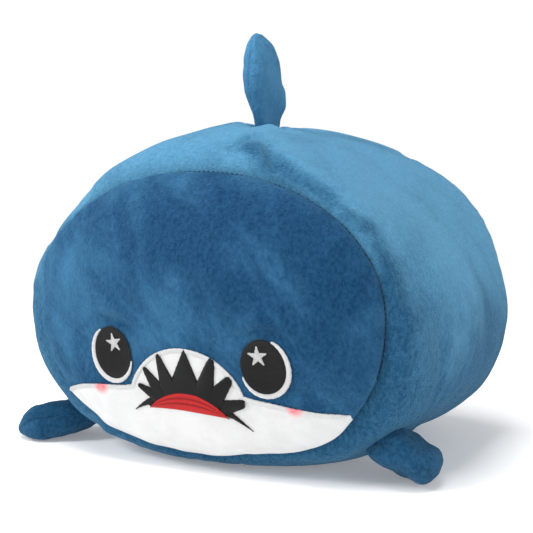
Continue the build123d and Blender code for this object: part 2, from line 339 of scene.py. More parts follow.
# %% Thread finishes
def thread(name, deep, light, gloss, blushed=False, shine=0.4):
    """Rayon embroidery thread, with a painted highlight on each row of stitches and painted shade
    between the rows.
    """
    finish = Finish(name, gloss)
    finish.shader.inputs["Specular IOR Level"].default_value = shine
    row = finish.attribute("row")
    along = finish.attribute("along")
    # painted light: each row of stitches is lighter on its top and darker in the groove beside it
    strand = (row * math.tau).wave() * 0.5 + 0.5
    twist = ((row * 3.0 + along * 0.9) * math.tau).wave() * 0.5 + 0.5
    fuzz = finish.noise(finish.place(), 0.0008, 2.0, 0.6)
    # the "nap" number darkens the thread: on the tongue, along its two lines of needle holes
    share = strand * 0.6 + fuzz * 0.4 + finish.attribute("nap")
    colour = finish.mix(share.between(0.15, 0.75), deep, light)
    if blushed:
        colour = finish.mix(blush_share(finish), colour, PINK)
    finish.colour(colour)
    finish.roughness(fuzz * 0.25 + (gloss - 0.1))
    finish.relief(strand * 0.8 + twist * 0.2 + fuzz * 0.3, 0.00035)
    return finish


WHITE_THREAD = thread("white_satin_thread", (0.56, 0.56, 0.56), (0.78, 0.78, 0.78), 0.5, True)
BLACK_THREAD = thread(
    "black_thread", (0.0008, 0.0008, 0.0010), (0.0075, 0.0070, 0.0080), 0.42, shine=0.28
)
RED_THREAD = thread("red_thread", (0.24, 0.002, 0.004), (0.66, 0.016, 0.016), 0.5, shine=0.3)
BLUE_THREAD = thread("blue_thread", (0.003, 0.018, 0.042), (0.008, 0.036, 0.075), 0.7, shine=0.2)

filling_finish = Finish("fibre_fill", 0.95, Sheen_Weight=0.6, Sheen_Roughness=0.6)
curls = filling_finish.noise(filling_finish.place(), 0.004, 5.0, 0.7, 2.5)
fill_share = curls.between(0.3, 0.7)
filling_finish.colour(filling_finish.mix(fill_share, (0.70, 0.70, 0.68), (0.90, 0.90, 0.88)))
filling_finish.relief(curls, 0.003)

label_finish = Finish("label_satin", 0.35, Sheen_Weight=0.2)
label_weave = label_finish.noise(label_finish.place(), 0.0007, 1.0)
label_share = label_weave.between(0.3, 0.7)
label_finish.colour(label_finish.mix(label_share, (0.78, 0.78, 0.76), (0.88, 0.88, 0.86)))
label_finish.relief(label_weave, 0.0002)
print("threads, filling and label ready")

# %% [markdown]
# ## The shape of the roll
#
# Cut across, the roll is two half ovals with a wide waist low down, where the filling sinks. The
# cut grows quickly from the oval end seams to the middle, which gives the puffed shoulders of a
# stuffed bolster. The same few formulas place the cloth, the threads and the folds, so that
# everything lies on one surface.

# %% Rings of the roll
face_low, face_high = (np.array(corner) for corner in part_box("face_panel"))
rear_low, rear_high = (np.array(corner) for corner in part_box("rear_panel"))
barrel_high = np.array(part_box("barrel_panel")[1])
belly_seam_low, belly_seam_high = (np.array(corner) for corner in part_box("belly_seam_thread"))
FACE_SEAM_Y = face_high[1]
REAR_SEAM_Y = rear_low[1]
FACE_DEPTH = FACE_SEAM_Y - face_low[1]
REAR_DEPTH = rear_high[1] - REAR_SEAM_Y
BARREL_POWER = 2.75


def ring(half_width, low_z, high_z, waist_z, upper_power, lower_power):
    """An upright cut of the body as an array: width, waist, rise, fall and two powers."""
    return np.array(
        [half_width, waist_z, high_z - waist_z, waist_z - low_z, upper_power, lower_power]
    )


FACE_RING = ring(face_high[0], face_low[2], face_high[2], 0.1135, 2.06, 2.36)
REAR_RING = ring(rear_high[0], rear_low[2], rear_high[2], 0.1150, 2.06, 2.20)
FULLER_SIDE, FULLER_TOP = 2.6 * MM, 4.5 * MM  # the cloth puffs out past the plain roll
MIDDLE_RING = ring(
    barrel_high[0] + FULLER_SIDE, -6.0 * MM, barrel_high[2] + FULLER_TOP, 0.0905, 1.80, 2.34
)
print("face ring", np.round(FACE_RING, 4))


def soft_noise(points, size, seed, waves=9):
    """Smooth noise from a few plane waves, about -1 to 1, with blotches of the given size."""
    draw = np.random.default_rng(seed)
    total = np.zeros(len(points))
    for _ in range(waves):
        direction = draw.normal(size=3)
        direction *= draw.uniform(0.6, 1.5) / np.linalg.norm(direction)
        total += np.sin(points @ direction * (math.pi / size) + draw.uniform(0, math.tau))
    return total / math.sqrt(waves)


def signed_power(value, power):
    return np.sign(value) * np.abs(value) ** power


def ring_point(angle, cut):
    """x and z of the cut at an angle. cut is a ring, or one ring for each angle."""
    width, waist, rise, fall, upper, lower = np.moveaxis(np.asarray(cut), -1, 0)
    sine, cosine = np.sin(angle), np.cos(angle)
    power = np.where(sine > 0, upper, lower)
    height = np.where(sine > 0, rise, fall)
    return width * signed_power(cosine, 2 / power), waist + height * signed_power(sine, 2 / power)


def ring_share(x, z, cut):
    """0 in the middle of an end panel and 1 on its seam."""
    width, waist, rise, fall, upper, lower = cut
    power = np.where(z > waist, upper, lower)
    height = np.where(z > waist, rise, fall)
    return (np.abs(x / width) ** power + np.abs((z - waist) / height) ** power) ** (1 / power)


# %% [markdown]
# ## Where the filling has slumped
#
# A real toy is never quite even: the lower seam wanders where the filling has shifted, and its
# corner is fuller on one side. These few soft pushes move every piece of the body alike, so the
# cloth, the threads and the embroidery stay together.

# %% Slumped filling
PUSHES = (
    # centre, reach, push, all in millimetres
    ((-118, -106, 50), 24, (5.0, -0.5, -1.5)),
    ((-97, -108, 29), 9, (3.4, -1.6, 5.0)),
    ((-83, -108, 18), 9, (-2.2, -0.5, -3.2)),
    ((104, -110, 26), 18, (3.4, 0.0, -2.8)),
    ((44, -112, 13), 18, (0.0, -1.0, 2.2)),
    ((82, -112, 15), 16, (0.5, 0.0, -1.8)),
    ((-140, -98, 150), 34, (-4.0, 0.0, 1.5)),
)


def settle(points):
    """Move points of the body with the slumped filling."""
    moved = points.copy()
    for centre, reach, push in PUSHES:
        distance = np.linalg.norm(points - np.array(centre) * MM, axis=1) / (reach * MM)
        moved += np.exp(-(distance**2))[:, None] * np.array(push) * MM
    return moved


# %% [markdown]
# ## The face as a height map
#
# The face bulges in front of its seam. Everything sewn on it, from the jaw to the stars in the
# eyes, has to follow it, so its surface is one function of x and z, and a second function finds
# the point a given lift above it.

# %% Face surface
DOME_POWER = 1.9
EYE = np.array([59.4, 82.6]) * MM  # the middle of the left eye, in x and z


def fold(distance, width):
    """A soft crease: 1 on its line and 0 a width away."""
    return np.exp(-((distance / width) ** 2))


def face_y(x, z):
    """The y of the face cloth, with its dents and the pull of the stitches."""
    share = np.clip(ring_share(x, z, FACE_RING), 0, 0.9995)
    depth = FACE_DEPTH * (1 - share**DOME_POWER) ** 0.5
    spots = np.stack([x, np.zeros_like(x), z], 1)
    edge = np.exp(-(((1 - share) / 0.16) ** 2))
    uneven = soft_noise(spots, 0.045, 11) * 0.0011 + soft_noise(spots, 0.018, 12) * 0.00035
    puckers = soft_noise(spots, 0.009, 13) * 0.0011 * edge
    # the stitches of the eyes and the mouth pull the cloth in a little
    pull = 0.0022 * np.exp(-(((x) / 0.050) ** 2 + ((z - 0.064) / 0.030) ** 2))
    for side in (-1, 1):
        from_eye = x - side * EYE[0]
        pull += 0.0026 * np.exp(-((from_eye / 0.024) ** 2 + ((z - EYE[1]) / 0.027) ** 2))
        # the crease over each eye, and the fuller cloth above it
        crease = z - 0.1065 - 0.06 * side * from_eye + 14 * from_eye**2
        brow = np.exp(-((from_eye / 0.016) ** 2))
        pull += brow * (0.0030 * fold(crease, 0.0034) - 0.0026 * fold(crease - 0.0085, 0.0055))
    return FACE_SEAM_Y - depth - uneven - puckers + pull * (1 - edge)


def on_face(x, z, lift=0.0):
    """Points a lift above the face cloth, as an array of x, y and z."""
    x, z = np.broadcast_arrays(np.asarray(x, float), np.asarray(z, float))
    step = 0.0004
    slope_x = (face_y(x + step, z) - face_y(x - step, z)) / (2 * step)
    slope_z = (face_y(x, z + step) - face_y(x, z - step)) / (2 * step)
    normal = np.stack([slope_x, -np.ones_like(x), slope_z], 1)
    normal /= np.linalg.norm(normal, axis=1, keepdims=True)
    return settle(np.stack([x, face_y(x, z), z], 1) + normal * np.reshape(lift, (-1, 1)))


print("nose at", np.round(on_face([0.0], [0.11])[0], 4))


# %% [markdown]
# ## Small helpers for sewn pieces
#
# Most pieces are one cloth: a grid of little squares that is laid on its pattern, bent to shape
# and given a thickness. One helper makes the grid with a mesh operator and moves each corner with
# a function of its two pattern coordinates, both from -1 to 1.

# %% Cloth helper
def coordinates(mesh):
    spots = np.empty(len(mesh.vertices) * 3, dtype=np.float32)
    mesh.vertices.foreach_get("co", spots)
    return spots.reshape(-1, 3).astype(float)


def object_from(build, name, finish):
    """Turn a bmesh into an object with one finish."""
    bmesh.ops.recalc_face_normals(build, faces=build.faces)
    mesh = bpy.data.meshes.new(name)
    build.to_mesh(mesh)
    build.free()
    mesh.shade_smooth()
    piece = bpy.data.objects.new(name, mesh)
    bpy.context.collection.objects.link(piece)
    mesh.materials.append(finish.material)
    return piece


def turn_towards(piece, way):
    """Flip the faces of an open cloth if, taken together, they point away from a direction."""
    average = Vector()
    for polygon in piece.data.polygons:
        average += polygon.normal * polygon.area
    if average.dot(Vector(way)) < 0:
        piece.data.flip_normals()


def cloth(name, columns, rows, shape, finish, join=None, facing=None):
    """A grid of columns by rows, moved by shape(u, v), which returns points and attributes."""
    build = bmesh.new()
    bmesh.ops.create_grid(build, x_segments=columns, y_segments=rows, size=1)
    build.verts.ensure_lookup_table()
    pattern = np.array([vertex.co[:2] for vertex in build.verts])
    points, extra = shape(pattern[:, 0], pattern[:, 1])
    layers = {key: build.verts.layers.float.new(key) for key in extra}
    for index, vertex in enumerate(build.verts):
        vertex.co = points[index]
        for key, layer in layers.items():
            vertex[layer] = extra[key][index]
    if join:
        bmesh.ops.remove_doubles(build, verts=build.verts, dist=join)
    piece = object_from(build, name, finish)
    if facing is not None:
        turn_towards(piece, facing)
    return piece


def thicken(piece, thickness, outwards=-1.0):
    """Give a cloth its thickness. -1 grows it inwards, under the surface that was shaped."""
    wall = piece.modifiers.new("thickness", "SOLIDIFY")
    wall.thickness = thickness
    wall.offset = outwards
    return piece


def disc(u, v):
    """Map the square pattern to a disc without a pole: share of the radius and angle."""
    x = u * np.sqrt(1 - v * v / 2)
    y = v * np.sqrt(1 - u * u / 2)
    return np.hypot(x, y), np.arctan2(y, x)


CLOTH = 1.2 * MM
ALLOWANCE = 5.0 * MM  # cloth turned in behind each seam

# %% [markdown]
# ## Barrel cloth
#
# The barrel is one strip of fleece that goes round the roll and joins along the belly. It puffs
# out at once behind each end seam, puckers along the stitches, and is pinched where the top fin
# is sewn in. The belly presses flat on the floor. A cloth solver would need the weight of the
# filling to find this shape, so the shape is given by formula and the folds are listed one by one.

# %% Barrel shape
dorsal_hinge = np.array(joints["dorsal_fin_flop"]["pos_m"])
CREASES = (
    # points of the line, depth and width, all in millimetres: a negative depth is a puff
    (((25, -80, 237), (22, -90, 233), (17, -98, 228)), 5.4, 2.8),
    (((43, -90, 231), (47, -97, 224), (56, -102, 214)), 4.2, 4.0),
    (((66, -103, 208), (73, -104, 205)), 2.8, 5.0),
    (((86, -103, 200), (98, -103, 192)), 2.2, 6.0),
    (((33, -97, 226), (37, -95, 227)), -3.2, 7.0),
    (((60, -92, 224), (82, -95, 212)), -2.4, 7.5),
    (((4, -99, 228), (-8, -98, 229)), -1.8, 8.0),
    (((-118, -104, 160), (-132, -95, 154)), 3.2, 4.0),
    (((0, -24, 240), (8, -64, 239)), 1.4, 6.0),
    (((0, 12, 240), (-8, 44, 238)), 1.6, 6.0),
    (((150, -70, 100), (155, -62, 66)), 1.8, 6.0),
    (((156, -30, 96), (160, -34, 60)), 1.5, 6.0),
    (((-60, 98, 214), (-66, 84, 222)), 2.4, 4.0),
    (((70, 98, 212), (78, 84, 220)), 2.6, 4.0),
    (((134, 99, 90), (146, 84, 84)), 2.6, 4.5),
    (((-134, 99, 80), (-147, 82, 84)), 2.4, 4.5),
)
# where the colour is painted darker: a nap patch with painted shade in the folds behind the top of the
# face seam
BARREL_NAP_AND_SHADE = (
    (((28, -97, 226), (56, -103, 214), (84, -103, 200), (104, -103, 188)), -0.34, 10.0),
    # painted shade under the jaw, beside the face seam on the shark's left and low on that side
    (((-100, -104, 22), (-60, -110, 8), (0, -112, 5), (60, -110, 7), (110, -102, 24)), -0.80, 17.0),
    (((114, -101, 182), (134, -99, 150), (142, -98, 115), (138, -99, 75), (122, -101, 42)), -0.24, 9.0),
    (((128, -94, 44), (146, -70, 40), (156, -30, 42)), -0.22, 18.0),
)


def line_distance(points, line):
    """The distance from each point to a line through a few places."""
    places = np.array(line, float) * MM
    # the line is laid on the cloth before it is measured from
    nearest_ones = [np.argmin(np.linalg.norm(points - place, axis=1)) for place in places]
    places = points[nearest_ones]
    nearest = np.full(len(points), 9.0)
    for start, end in zip(places[:-1], places[1:]):
        way = end - start
        along = np.clip((points - start) @ way / (way @ way), 0, 1)
        gap = np.linalg.norm(points - start - along[:, None] * way, axis=1)
        nearest = np.minimum(nearest, gap)
    return nearest


TUCKS = ((62, 0.7), (20, 0.8), (-15, 1.0), (-50, 1.6), (-64, 1.0))  # y and depth, in millimetres
TUCK_WIDTH = 4.8 * MM


def barrel_relief(points, seam_distance):
    """How far the fleece stands out from the plain roll at each point."""
    x, y, z = points.T
    relief = soft_noise(points, 0.070, 21) * 0.0022 + soft_noise(points, 0.028, 22) * 0.0007
    pucker = np.abs(soft_noise(points * (1, 0.35, 1), 0.011, 23)) - 0.6
    relief -= pucker * np.where(y < 0, 0.0026, 0.0013) * np.exp(-seam_distance / 0.014)
    # the pinch round the root of the top fin, with folds that run out of it
    root_x, root_y = x - dorsal_hinge[0], y - dorsal_hinge[1]
    above = z > 0.15
    reach = np.hypot(root_x * 1.3, np.maximum(np.abs(root_y) - 0.012, 0))
    turn = np.arctan2(root_y, root_x)
    relief -= above * 0.0048 * fold(reach, 0.012)
    relief += above * 0.0013 * np.cos(turn * 7 + 1.1) * fold(reach - 0.020, 0.013)
    for line, depth, width in CREASES:
        relief -= depth * MM * fold(line_distance(points, line), width * MM)
    seam_x = (belly_seam_low[0] + belly_seam_high[0]) / 2
    relief -= (z < 0.03) * 0.0010 * fold(x - seam_x, 0.0015)
    # tucks in the shark's left side, parallel to the seams, deeper low down
    low_side = np.clip((0.16 - z) / 0.12, 0, 1) * (x > 0.06)
    wander = soft_noise(points * (1, 0, 1), 0.05, 24) * 0.003
    for tuck_y, depth in TUCKS:
        relief -= low_side * depth * MM * fold(y - tuck_y * MM - wander, TUCK_WIDTH)
    return relief


BARREL_SHOWN = 0.965  # share of the strip between the seams, the rest is turned in
FLOOR_SOFTNESS = 5.0 * MM


def barrel_points(u, v):
    """u goes round the roll from belly to belly, v from the face seam to the rear seam."""
    angle = -math.pi / 2 + (u + 1) * math.pi
    run = np.clip(v / BARREL_SHOWN, -1, 1)
    share = np.sin(run * math.pi / 2)
    bulge = (1 - np.abs(share) ** BARREL_POWER) ** (1 / BARREL_POWER)
    ends = np.where((share < 0)[:, None], FACE_RING, REAR_RING)
    cut = ends + (MIDDLE_RING - ends) * bulge[:, None]
    x, z = ring_point(angle, cut)
    half = (REAR_SEAM_Y - FACE_SEAM_Y) / 2
    y = share * (half - 0.5 * MM)
    points = np.stack([x, y, z], 1)
    outward = np.stack([x / cut[:, 0] ** 2, np.zeros_like(x), (z - cut[:, 1]) / cut[:, 2] ** 2], 1)
    outward /= np.linalg.norm(outward, axis=1, keepdims=True)
    seam_distance = (1 - np.abs(share)) * half + bulge * 0.03
    points += outward * (barrel_relief(points, seam_distance) * np.minimum(1, bulge * 3))[:, None]
    turned = np.clip((np.abs(v) - BARREL_SHOWN) / (1 - BARREL_SHOWN), 0, 1)
    points -= outward * (turned * ALLOWANCE)[:, None]
    # the "nap" numbers paint shade into the fleece along the lines above
    nap = np.zeros(len(points))
    for line, shade, width in BARREL_NAP_AND_SHADE:
        reach = line_distance(points, line) * (1 + 0.35 * soft_noise(points, 0.016, 25))
        nap += shade * fold(reach, width * MM)
    # the floor presses the belly flat
    height = points[:, 2]
    points[:, 2] = (height + np.sqrt(height**2 + FLOOR_SOFTNESS**2)) / 2
    return settle(points), {"nap": nap}


barrel_cloth = cloth(
    "barrel_cloth", 400, 118, barrel_points, BARREL_FLEECE, join=1e-5
)
thicken(barrel_cloth, CLOTH)
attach(barrel_cloth, "body")
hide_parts("barrel_panel")
print("barrel cloth", len(barrel_cloth.data.polygons), "faces")

# %% [markdown]
# ## Face and rear cloth
#
# Both ends are ovals of fleece. Each is made from a square grid that is eased into a disc, so it
# has no pole in the middle, and its rim turns in behind the seam.

# %% Face and rear cloth
RIM = 0.972  # share of the pattern that shows, the rest is turned in
FACE_NAP_LIGHT_AND_SHADE = (
    # centre x and z, reach and shade: the pile lies down towards the top of the shark's left, with
    # painted light on the shark's right where the key light falls and painted shade beside the seam on
    # the shark's left
    (70, 165, 60, -0.07),
    (15, 170, 36, -0.13),
    (-100, 140, 42, 0.12),
    (-8, 114, 30, 0.13),
    (102, 100, 30, -0.05),
    (118, 132, 22, -0.10),
)


def face_nap_light_and_shade(points):
    """How much lighter or darker the face is painted at each point, for its nap and for painted light
    and shade: above 0 it looks light.
    """
    nap = np.zeros(len(points))
    for x, z, reach, shade in FACE_NAP_LIGHT_AND_SHADE:
        away = np.hypot(points[:, 0] - x * MM, points[:, 2] - z * MM)
        nap += shade * fold(away, reach * MM)
    return nap


def end_points(cut, surface, seam_y):
    """Shape an end panel from its ring and its surface function."""

    def shape(u, v):
        radius, angle = disc(u, v)
        share = np.minimum(radius / RIM, 1)
        rim_x, rim_z = ring_point(angle, cut)
        x = rim_x * share
        z = cut[1] + (rim_z - cut[1]) * share
        points = np.stack([x, surface(x, z), z], 1)
        turned = np.clip((radius - RIM) / (1 - RIM), 0, 1)
        inward = np.stack([-x, np.zeros_like(x), cut[1] - z], 1)
        inward /= np.maximum(np.linalg.norm(inward, axis=1, keepdims=True), 1e-9)
        points[:, 1] = np.where(radius >= RIM, seam_y, points[:, 1])
        nap = face_nap_light_and_shade(points) if cut is FACE_RING else np.zeros(len(points))
        return settle(points + inward * (turned * ALLOWANCE)[:, None]), {"nap": nap}

    return shape


def rear_y(x, z):
    """The y of the rear cloth, which is pulled in a little round the tail."""
    share = np.clip(ring_share(x, z, REAR_RING), 0, 0.9995)
    spots = np.stack([x, np.ones_like(x), z], 1)
    edge = np.exp(-(((1 - share) / 0.16) ** 2))
    uneven = soft_noise(spots, 0.05, 31) * 0.0014 + soft_noise(spots, 0.009, 32) * 0.0010 * edge
    tail_pinch = 0.004 * np.exp(-((x / 0.012) ** 2 + ((z - 0.118) / 0.020) ** 2))
    dome = REAR_DEPTH * (1 - share**DOME_POWER) ** 0.5
    return REAR_SEAM_Y + dome + uneven * (share < 0.999) - tail_pinch


face_cloth = cloth(
    "face_cloth", 176, 176, end_points(FACE_RING, face_y, FACE_SEAM_Y - 0.3 * MM),
    FACE_FLEECE, facing=(0, -1, 0),
)
rear_cloth = cloth(
    "rear_cloth", 150, 150, end_points(REAR_RING, rear_y, REAR_SEAM_Y + 0.3 * MM),
    BARREL_FLEECE, facing=(0, 1, 0),
)
for piece, node in ((face_cloth, "face_panel"), (rear_cloth, "rear_panel")):
    thicken(piece, CLOTH)
    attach(piece, "body")
    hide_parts(node)
print("end cloths", len(face_cloth.data.polygons), len(rear_cloth.data.polygons), "faces")

# %% [markdown]
# ## Jaw
#
# The jaw is white cloth laid on the face. Its top edge runs from seam to seam and arches over the
# mouth. The grid's rows run from the seam at the bottom up to that edge.

# %% Jaw outline
MOUTH_TOP = 90.5 * MM
MOUTH_HALF = 42.8 * MM
MOUTH_BASE = 62.0 * MM
arch_rise = MOUTH_TOP - MOUTH_BASE
ARCH_RADIUS = (MOUTH_HALF**2 + arch_rise**2) / (2 * arch_rise)
ARCH_CENTRE = MOUTH_TOP - ARCH_RADIUS
JAW_REACH = 114.0 * MM
JAW_LINE = (
    # x and height of the jaw's top edge beside the arch, in millimetres
    (-116.0, 49.5), (-106.0, 53.0), (-90.0, 56.2), (-74.0, 57.8), (-57.0, 58.9), (-50.0, 59.6),
    (-42.8, 61.2), (42.8, 61.2), (50.0, 59.2), (57.0, 58.0), (74.0, 55.4), (90.0, 53.6),
    (106.0, 52.8), (116.0, 53.2),
)
jaw_line_x, jaw_line_z = np.array(JAW_LINE).T * MM


def jaw_edge(x):
    """The height of the jaw's top edge."""
    arch = ARCH_CENTRE + np.sqrt(np.maximum(ARCH_RADIUS**2 - x**2, 0))
    return np.where(np.abs(x) < MOUTH_HALF, arch, np.interp(x, jaw_line_x, jaw_line_z))


def seam_below(x):
    """The height of the face seam under a place on the jaw."""
    width, waist, rise, fall, upper, lower = FACE_RING
    part = np.clip(1 - np.abs(x / width) ** lower, 0, 1)
    return waist - fall * part ** (1 / lower)


JAW_LIFT = 0.9 * MM


def jaw_points(u, v):
    x = u * JAW_REACH
    low = FACE_RING[1] - (FACE_RING[1] - seam_below(x)) * 0.988
    top = np.maximum(jaw_edge(x), low + 0.5 * MM)
    z = low + (top - low) * (v + 1) / 2
    edge = np.clip((1 - v) / 0.05, 0, 1) * np.clip((1 + v) / 0.04, 0, 1)
    return on_face(x, z, JAW_LIFT * (0.35 + 0.65 * edge)), {}


jaw_cloth = cloth(
    "jaw_cloth_piece", 280, 64, jaw_points, jaw_finish, facing=(0, -1, 0)
)
thicken(jaw_cloth, 0.7 * MM)
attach(jaw_cloth, "body")
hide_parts("jaw_panel")
print("jaw cloth", len(jaw_cloth.data.polygons), "faces")

# %% [markdown]
# ## Satin stitching
#
# A satin column is a band of stitches laid side by side across its width, over a low padding. The
# band's height map is a half round with one ripple for each stitch, so the threads show in the
# outline and catch the light. The same helper sews the jaw's edge, the crescents, the spikes and
# the stars.

# %% Satin helper
def resample(path, count):
    """Points spread evenly along a path."""
    steps = np.hypot(*np.diff(path, axis=0).T)
    run = np.concatenate([[0], np.cumsum(steps)])
    target = np.linspace(0, run[-1], count)
    return np.stack([np.interp(target, run, path[:, k]) for k in (0, 1)], 1)


COLUMNS_PER_STITCH = 3


def satin(path, widths, lift, height, pitch=0.75 * MM, lean=0.0, across=8):
    """Shape a satin column along a path of x and z, with one width for each path point."""
    path = np.asarray(path, float)
    steps = np.hypot(*np.diff(path, axis=0).T)
    length = steps.sum()
    marks = np.concatenate([[0], np.cumsum(steps)])
    columns = max(int(length / pitch * COLUMNS_PER_STITCH), 12)

    def place(run):
        return np.stack([np.interp(run, marks, path[:, k]) for k in (0, 1)], 1)

    def shape(u, v):
        run = (u + 1) / 2 * length
        centre = place(run)
        direction = place(run + pitch) - place(run - pitch)
        direction /= np.maximum(np.linalg.norm(direction, axis=1, keepdims=True), 1e-9)
        side = np.stack([-direction[:, 1], direction[:, 0]], 1)
        width = np.interp(run, marks, widths)
        ragged = 0.10 * MM * np.sin(run / pitch * 2.4) + 0.09 * MM * np.sin(run / pitch * 1.13)
        spot = centre + side * (v * (width / 2 + ragged))[:, None]
        spot += direction * (v * lean * width / 2)[:, None]
        ripple = 0.5 + 0.5 * np.cos(run / pitch * math.tau)
        low_round = np.sqrt(np.maximum(1 - v**2, 0))
        padding = height * low_round**0.7 * np.minimum(1, width / (2.5 * MM))
        rise = lift + padding + 0.17 * MM * ripple * low_round
        points = on_face(spot[:, 0], spot[:, 1], rise)
        return points, {"row": run / pitch + 0.25, "along": v * width / 2 / MM}

    return columns, across, shape


def sew_satin(name, path, widths, lift, height, finish, node_slot, **options):
    columns, across, shape = satin(path, widths, lift, height, **options)
    return cloth(name, columns, across, shape, finish, facing=(0, -1, 0))


def join_pieces(name, pieces):
    """Make one piece of several, as one colour of thread is sewn in one go."""
    build = bmesh.new()
    for piece in pieces:
        build.from_mesh(piece.data)
    mesh = bpy.data.meshes.new(name)
    build.to_mesh(mesh)
    build.free()
    mesh.shade_smooth()
    mesh.materials.append(pieces[0].data.materials[0])
    joined = bpy.data.objects.new(name, mesh)
    bpy.context.collection.objects.link(joined)
    for piece in pieces:
        bpy.data.objects.remove(piece)
    return joined


# %% [markdown]
# ## Jaw border
#
# The border is the white satin column that holds the jaw's top edge down. It is sewn from seam to
# seam in one run, up one side of the arch and down the other.

# %% Jaw border
BORDER_WIDTH = 3.4 * MM
BORDER_POINTS = 400
border_x = np.concatenate(
    [
        np.linspace(-JAW_REACH, -MOUTH_HALF, 60),
        np.linspace(-MOUTH_HALF, MOUTH_HALF, 120)[1:-1],
        np.linspace(MOUTH_HALF, JAW_REACH, 60),
    ]
)
border_z = jaw_edge(border_x) - BORDER_WIDTH * 0.3
border_path = resample(np.stack([border_x, border_z], 1), BORDER_POINTS)
for _ in range(6):  # round the corners where the arch meets the line
    border_path[1:-1] = (border_path[:-2] + 2 * border_path[1:-1] + border_path[2:]) / 4
from_start = np.arange(BORDER_POINTS)
border_ends = np.clip(np.minimum(from_start, from_start[::-1]) / 8, 0.3, 1)
jaw_border = sew_satin(
    "jaw_border", border_path, BORDER_WIDTH * border_ends, 0.7 * MM, 0.8 * MM,
    WHITE_THREAD, "white_satin_thread",
)
thicken(jaw_border, 0.3 * MM)
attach(jaw_border, "body")
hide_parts("jaw_border_stitching")
print("jaw border", len(jaw_border.data.polygons), "faces")

# %% [markdown]
# ## Mouth
#
# The black mouth is a crown of satin spikes that grow out of one dark field over the tongue. Each
# spike is its own column that narrows to its tip, so ridges show where neighbours meet. Two thin
# curled tails close the corners of the mouth.

# %% Mouth spikes
TONGUE_TIP = np.array([31.3, 44.7]) * MM
TONGUE_TOP = 59.2 * MM
TONGUE_LOW = 45.8 * MM


def arc_through(half, end_z, middle_z, count=60):
    """An arc from one side to the other through a middle height."""
    rise = middle_z - end_z
    radius = (half**2 + rise**2) / (2 * abs(rise))
    centre = middle_z - math.copysign(radius, rise)
    x = np.linspace(-half, half, count)
    return np.stack([x, centre + math.copysign(1, rise) * np.sqrt(radius**2 - x**2)], 1)


TONGUE_SHIFT = 1.8 * MM
TONGUE_TURN = -0.030  # the left end of the lens is a little higher
tongue_top_line = arc_through(TONGUE_TIP[0], TONGUE_TIP[1], TONGUE_TOP)
spikes = (
    # root x, root z, tip x, tip z, root width, tip width
    (1.5, 58.0, 2.4, 91.0, 30.0, 0.6),
    (14.0, 56.0, 23.0, 86.0, 18.5, 4.6),
    (-11.5, 56.0, -19.6, 86.0, 17.0, 2.6),
    (20.0, 54.0, 35.9, 73.4, 16.0, 5.4),
    (-17.5, 54.0, -31.8, 75.2, 14.5, 3.0),
    (28.0, 52.0, 45.4, 56.6, 11.0, 5.8),
    (-22.0, 54.5, -37.6, 62.4, 10.0, 2.8),
)
SPIKE_LIFT = 1.35 * MM
mouth_parts = []
for root_x, root_z, tip_x, tip_z, root_width, tip_width in spikes:
    share = np.linspace(0, 1, 24)
    path = np.stack([root_x + (tip_x - root_x) * share, root_z + (tip_z - root_z) * share], 1) * MM
    narrowing = root_width + (tip_width - root_width) * share
    narrowing[-2:] *= (0.85, 0.5)
    lean = 0.25 if root_x >= 0 else -0.25
    mouth_parts.append(
        sew_satin(
            f"spike_{len(mouth_parts)}", path, narrowing * MM, SPIKE_LIFT, 1.3 * MM,
            BLACK_THREAD, "black_thread", lean=lean, across=12,
        )
    )

# the dark field over the tongue, and the tails at the corners
field = tongue_top_line + (TONGUE_SHIFT, 3.2 * MM)
field_width = (4.0 + 8.0 * (1 - np.abs(np.linspace(-1, 1, 60)) ** 2.5)) * MM
mouth_parts.append(
    sew_satin(
        "field", field, field_width, SPIKE_LIFT - 0.1 * MM, 0.7 * MM,
        BLACK_THREAD, "black_thread", across=14,
    )
)
CORNER_TAILS = (
    # side, first x, run, first z, straight fall and curled fall, in millimetres
    (-1, 26.0, 17.0, 52.0, 3.6, 5.0),
    (1, 30.0, 18.5, 49.5, 5.0, 7.6),
)
for side, first_x, run, first_z, fall, curl in CORNER_TAILS:
    share = np.linspace(0, 1, 30)
    tail_x = first_x + run * share
    tail_z = first_z - fall * share - curl * share**1.7
    mouth_parts.append(
        sew_satin(
            f"tail_{side}", np.stack([side * tail_x, tail_z], 1) * MM, (6.4 - 6.0 * share**0.8) * MM,
            SPIKE_LIFT, 0.7 * MM, BLACK_THREAD, "black_thread",
        )
    )
mouth = join_pieces("mouth_stitches", mouth_parts)
thicken(mouth, 0.3 * MM)
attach(mouth, "body")
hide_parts("mouth_embroidery")
print("mouth", len(mouth.data.polygons), "faces")

# %% [markdown]
# ## Tongue
#
# The tongue is a red lens. Its stitches run up and down between a flat lower edge and an arched
# upper edge, with two lines of needle holes parallel to the arch.

# %% Tongue
TONGUE_PITCH = 0.9 * MM
tongue_low_line = arc_through(TONGUE_TIP[0], TONGUE_TIP[1], TONGUE_LOW)


